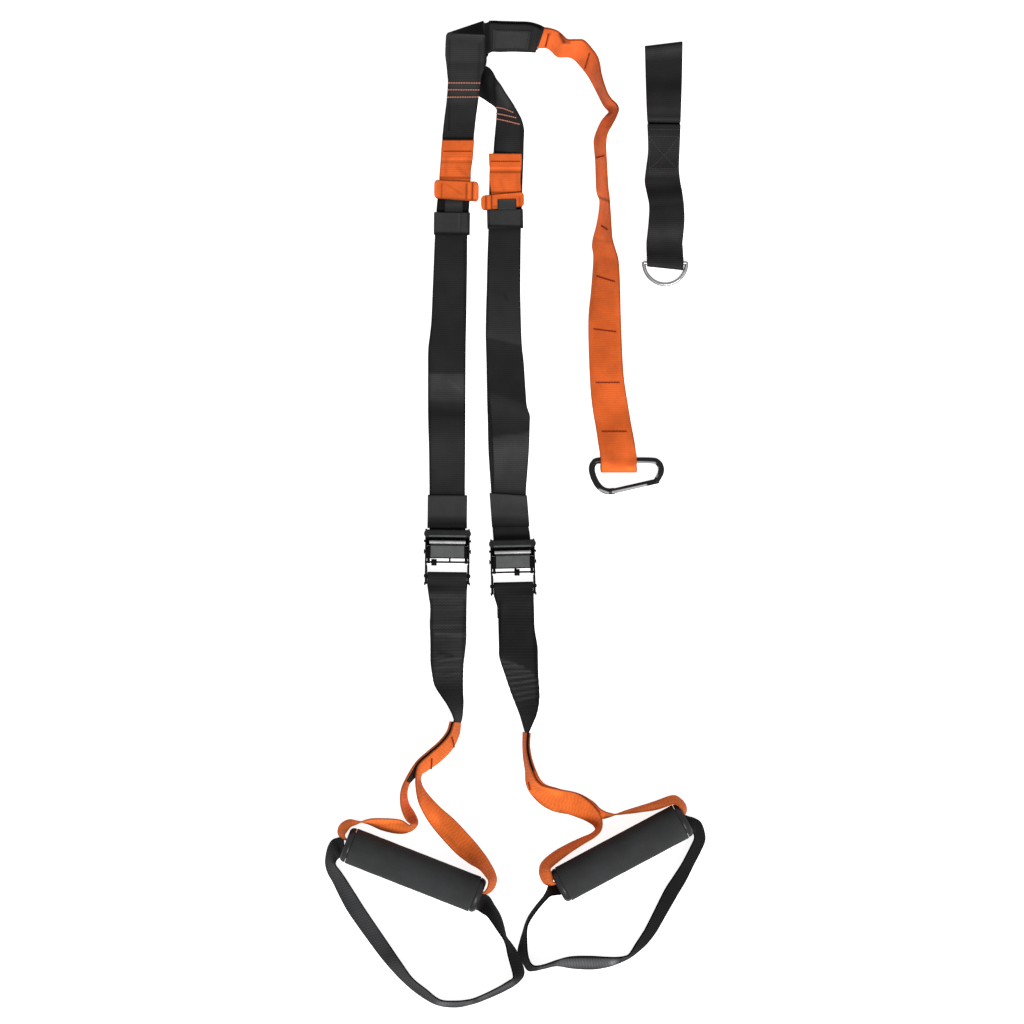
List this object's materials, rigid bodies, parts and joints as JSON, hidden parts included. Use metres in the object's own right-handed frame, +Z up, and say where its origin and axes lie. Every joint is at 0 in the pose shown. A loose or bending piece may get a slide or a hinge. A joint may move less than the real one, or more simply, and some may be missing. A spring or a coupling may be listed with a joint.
{
  "type": "suspension trainer",
  "caption": "Suspension trainer laid flat: black webbing with cam buckles, foam handles on orange yokes, foot loops, an orange lead with a carabiner and a loose anchor strap.",
  "frame": {"origin": "bottom centre of the bounding box, on the floor that the trainer lies on", "axes": "+Y along the straps from the handles towards the anchor end, +X to the right seen from above, +Z up from the floor"},
  "size_m": [0.3992, 1.0375, 0.039],
  "materials": {
    "black_webbing": "woven nylon, matte with a faint sheen",
    "orange_webbing": "woven nylon, matte",
    "buckle_paint": "semi-gloss black paint",
    "bright_steel": "bright zinc-plated steel",
    "black_anodised": "black anodised, smooth",
    "grip_foam": "closed-cell foam, matte",
    "cap_plastic": "moulded black plastic"
  },
  "bodies": {
    "anchor": {"anchor_lead": "orange_webbing", "anchor_band": "black_webbing", "band_patch": "black_webbing", "left_main_strap": "black_webbing", "right_main_strap": "black_webbing"},
    "carabiner": {"carabiner_body": "black_anodised", "carabiner_gate_pin": "bright_steel"},
    "carabiner_gate": {"carabiner_gate": "black_anodised", "carabiner_gate_spring": "bright_steel"},
    "anchor_strap": {"anchor_strap": "black_webbing"},
    "d_ring": {"anchor_strap_d_ring": "bright_steel"},
    "left_buckle": {"left_buckle_frame": "buckle_paint", "left_buckle_top_bar": "buckle_paint", "left_buckle_strap_bar": "buckle_paint", "left_buckle_bottom_bar": "buckle_paint", "left_buckle_cam_pin": "bright_steel", "left_buckle_cam_spring": "bright_steel", "left_buckle_sleeve": "black_webbing", "left_tail_strap": "black_webbing"},
    "left_tab": {"left_adjust_tab": "orange_webbing", "left_tab_keeper": "orange_webbing", "left_keeper_sleeve": "black_webbing"},
    "left_cam_lever": {"left_buckle_cam_lever": "buckle_paint"},
    "left_handle": {"left_riser_strap": "black_webbing", "left_yoke_webbing": "orange_webbing"},
    "left_grip": {"left_grip_foam": "grip_foam", "left_grip_tube": "cap_plastic", "left_grip_cap_inner": "cap_plastic", "left_grip_cap_outer": "cap_plastic"},
    "left_foot_loop": {"left_foot_loop": "black_webbing"},
    "right_buckle": {"right_buckle_frame": "buckle_paint", "right_buckle_top_bar": "buckle_paint", "right_buckle_strap_bar": "buckle_paint", "right_buckle_bottom_bar": "buckle_paint", "right_buckle_cam_pin": "bright_steel", "right_buckle_cam_spring": "bright_steel", "right_buckle_sleeve": "black_webbing", "right_tail_strap": "black_webbing"},
    "right_tab": {"right_adjust_tab": "orange_webbing", "right_tab_keeper": "orange_webbing", "right_keeper_sleeve": "black_webbing"},
    "right_cam_lever": {"right_buckle_cam_lever": "buckle_paint"},
    "right_handle": {"right_riser_strap": "black_webbing", "right_yoke_webbing": "orange_webbing"},
    "right_grip": {"right_grip_foam": "grip_foam", "right_grip_tube": "cap_plastic", "right_grip_cap_inner": "cap_plastic", "right_grip_cap_outer": "cap_plastic"},
    "right_foot_loop": {"right_foot_loop": "black_webbing"}
  },
  "joints": [
    {"name": "carabiner_swing", "type": "hinge", "parent": "anchor", "child": "carabiner", "pos_m": [0.11163, 0.0549, 0.0054], "axis": [-1, 0, 0], "range_deg": [0, 100]},
    {"name": "carabiner_gate_open", "type": "hinge", "parent": "carabiner", "child": "carabiner_gate", "pos_m": [0.14763, 0.033, 0.0041], "axis": [0, 0, -1], "range_deg": [0, 20], "stiffness_Nm_per_rad": 0.2},
    {"name": "anchor_strap_lift", "type": "slide", "parent": "anchor", "child": "anchor_strap", "axis": [0, 0, 1], "range_m": [0, 0.2]},
    {"name": "d_ring_swing", "type": "hinge", "parent": "anchor_strap", "child": "d_ring", "pos_m": [0.15723, 0.2623, 0.004], "axis": [-1, 0, 0], "range_deg": [0, 110]},
    {"name": "left_buckle_slide", "type": "slide", "parent": "anchor", "child": "left_buckle", "axis": [-0.012, -0.9999, 0], "range_m": [0, 0.2]},
    {"name": "left_tab_slide", "type": "slide", "parent": "left_buckle", "child": "left_tab", "axis": [-0.012, -0.9999, 0], "range_m": [0, 0.2]},
    {"name": "left_lever_open", "type": "hinge", "parent": "left_buckle", "child": "left_cam_lever", "pos_m": [-0.07139, -0.0517, 0.009], "axis": [0.9999, -0.012, 0], "range_deg": [0, 45], "stiffness_Nm_per_rad": 0.3},
    {"name": "left_handle_lift", "type": "hinge", "parent": "left_buckle", "child": "left_handle", "pos_m": [-0.07156, -0.0663, 0.0049], "axis": [-1, 0, 0], "range_deg": [0, 80]},
    {"name": "left_grip_spin", "type": "hinge", "parent": "left_handle", "child": "left_grip", "pos_m": [-0.10717, -0.3738, 0.0194], "axis": [0.9311, -0.3649, 0], "continuous": true},
    {"name": "left_foot_loop_swing", "type": "hinge", "parent": "left_handle", "child": "left_foot_loop", "pos_m": [-0.10717, -0.3738, 0.0194], "axis": [-0.9311, 0.3649, 0], "range_deg": [0, 60]},
    {"name": "right_buckle_slide", "type": "slide", "parent": "anchor", "child": "right_buckle", "axis": [0.0225, -0.9997, 0], "range_m": [0, 0.2]},
    {"name": "right_tab_slide", "type": "slide", "parent": "right_buckle", "child": "right_tab", "axis": [0.0225, -0.9997, 0], "range_m": [0, 0.2]},
    {"name": "right_lever_open", "type": "hinge", "parent": "right_buckle", "child": "right_cam_lever", "pos_m": [-0.00237, -0.0622, 0.009], "axis": [0.9997, 0.0225, 0], "range_deg": [0, 45], "stiffness_Nm_per_rad": 0.3},
    {"name": "right_handle_lift", "type": "hinge", "parent": "right_buckle", "child": "right_handle", "pos_m": [-0.00204, -0.0768, 0.0049], "axis": [-1, 0, 0], "range_deg": [0, 80]},
    {"name": "right_grip_spin", "type": "hinge", "parent": "right_handle", "child": "right_grip", "pos_m": [0.11163, -0.3557, 0.0194], "axis": [0.8821, 0.471, 0], "continuous": true},
    {"name": "right_foot_loop_swing", "type": "hinge", "parent": "right_handle", "child": "right_foot_loop", "pos_m": [0.11163, -0.3557, 0.0194], "axis": [-0.8821, -0.471, 0], "range_deg": [0, 60]}
  ],
  "couplings": [
    {"joint": "left_tab_slide", "follows": "left_buckle_slide", "ratio": 1},
    {"joint": "right_tab_slide", "follows": "right_buckle_slide", "ratio": 1}
  ]
}
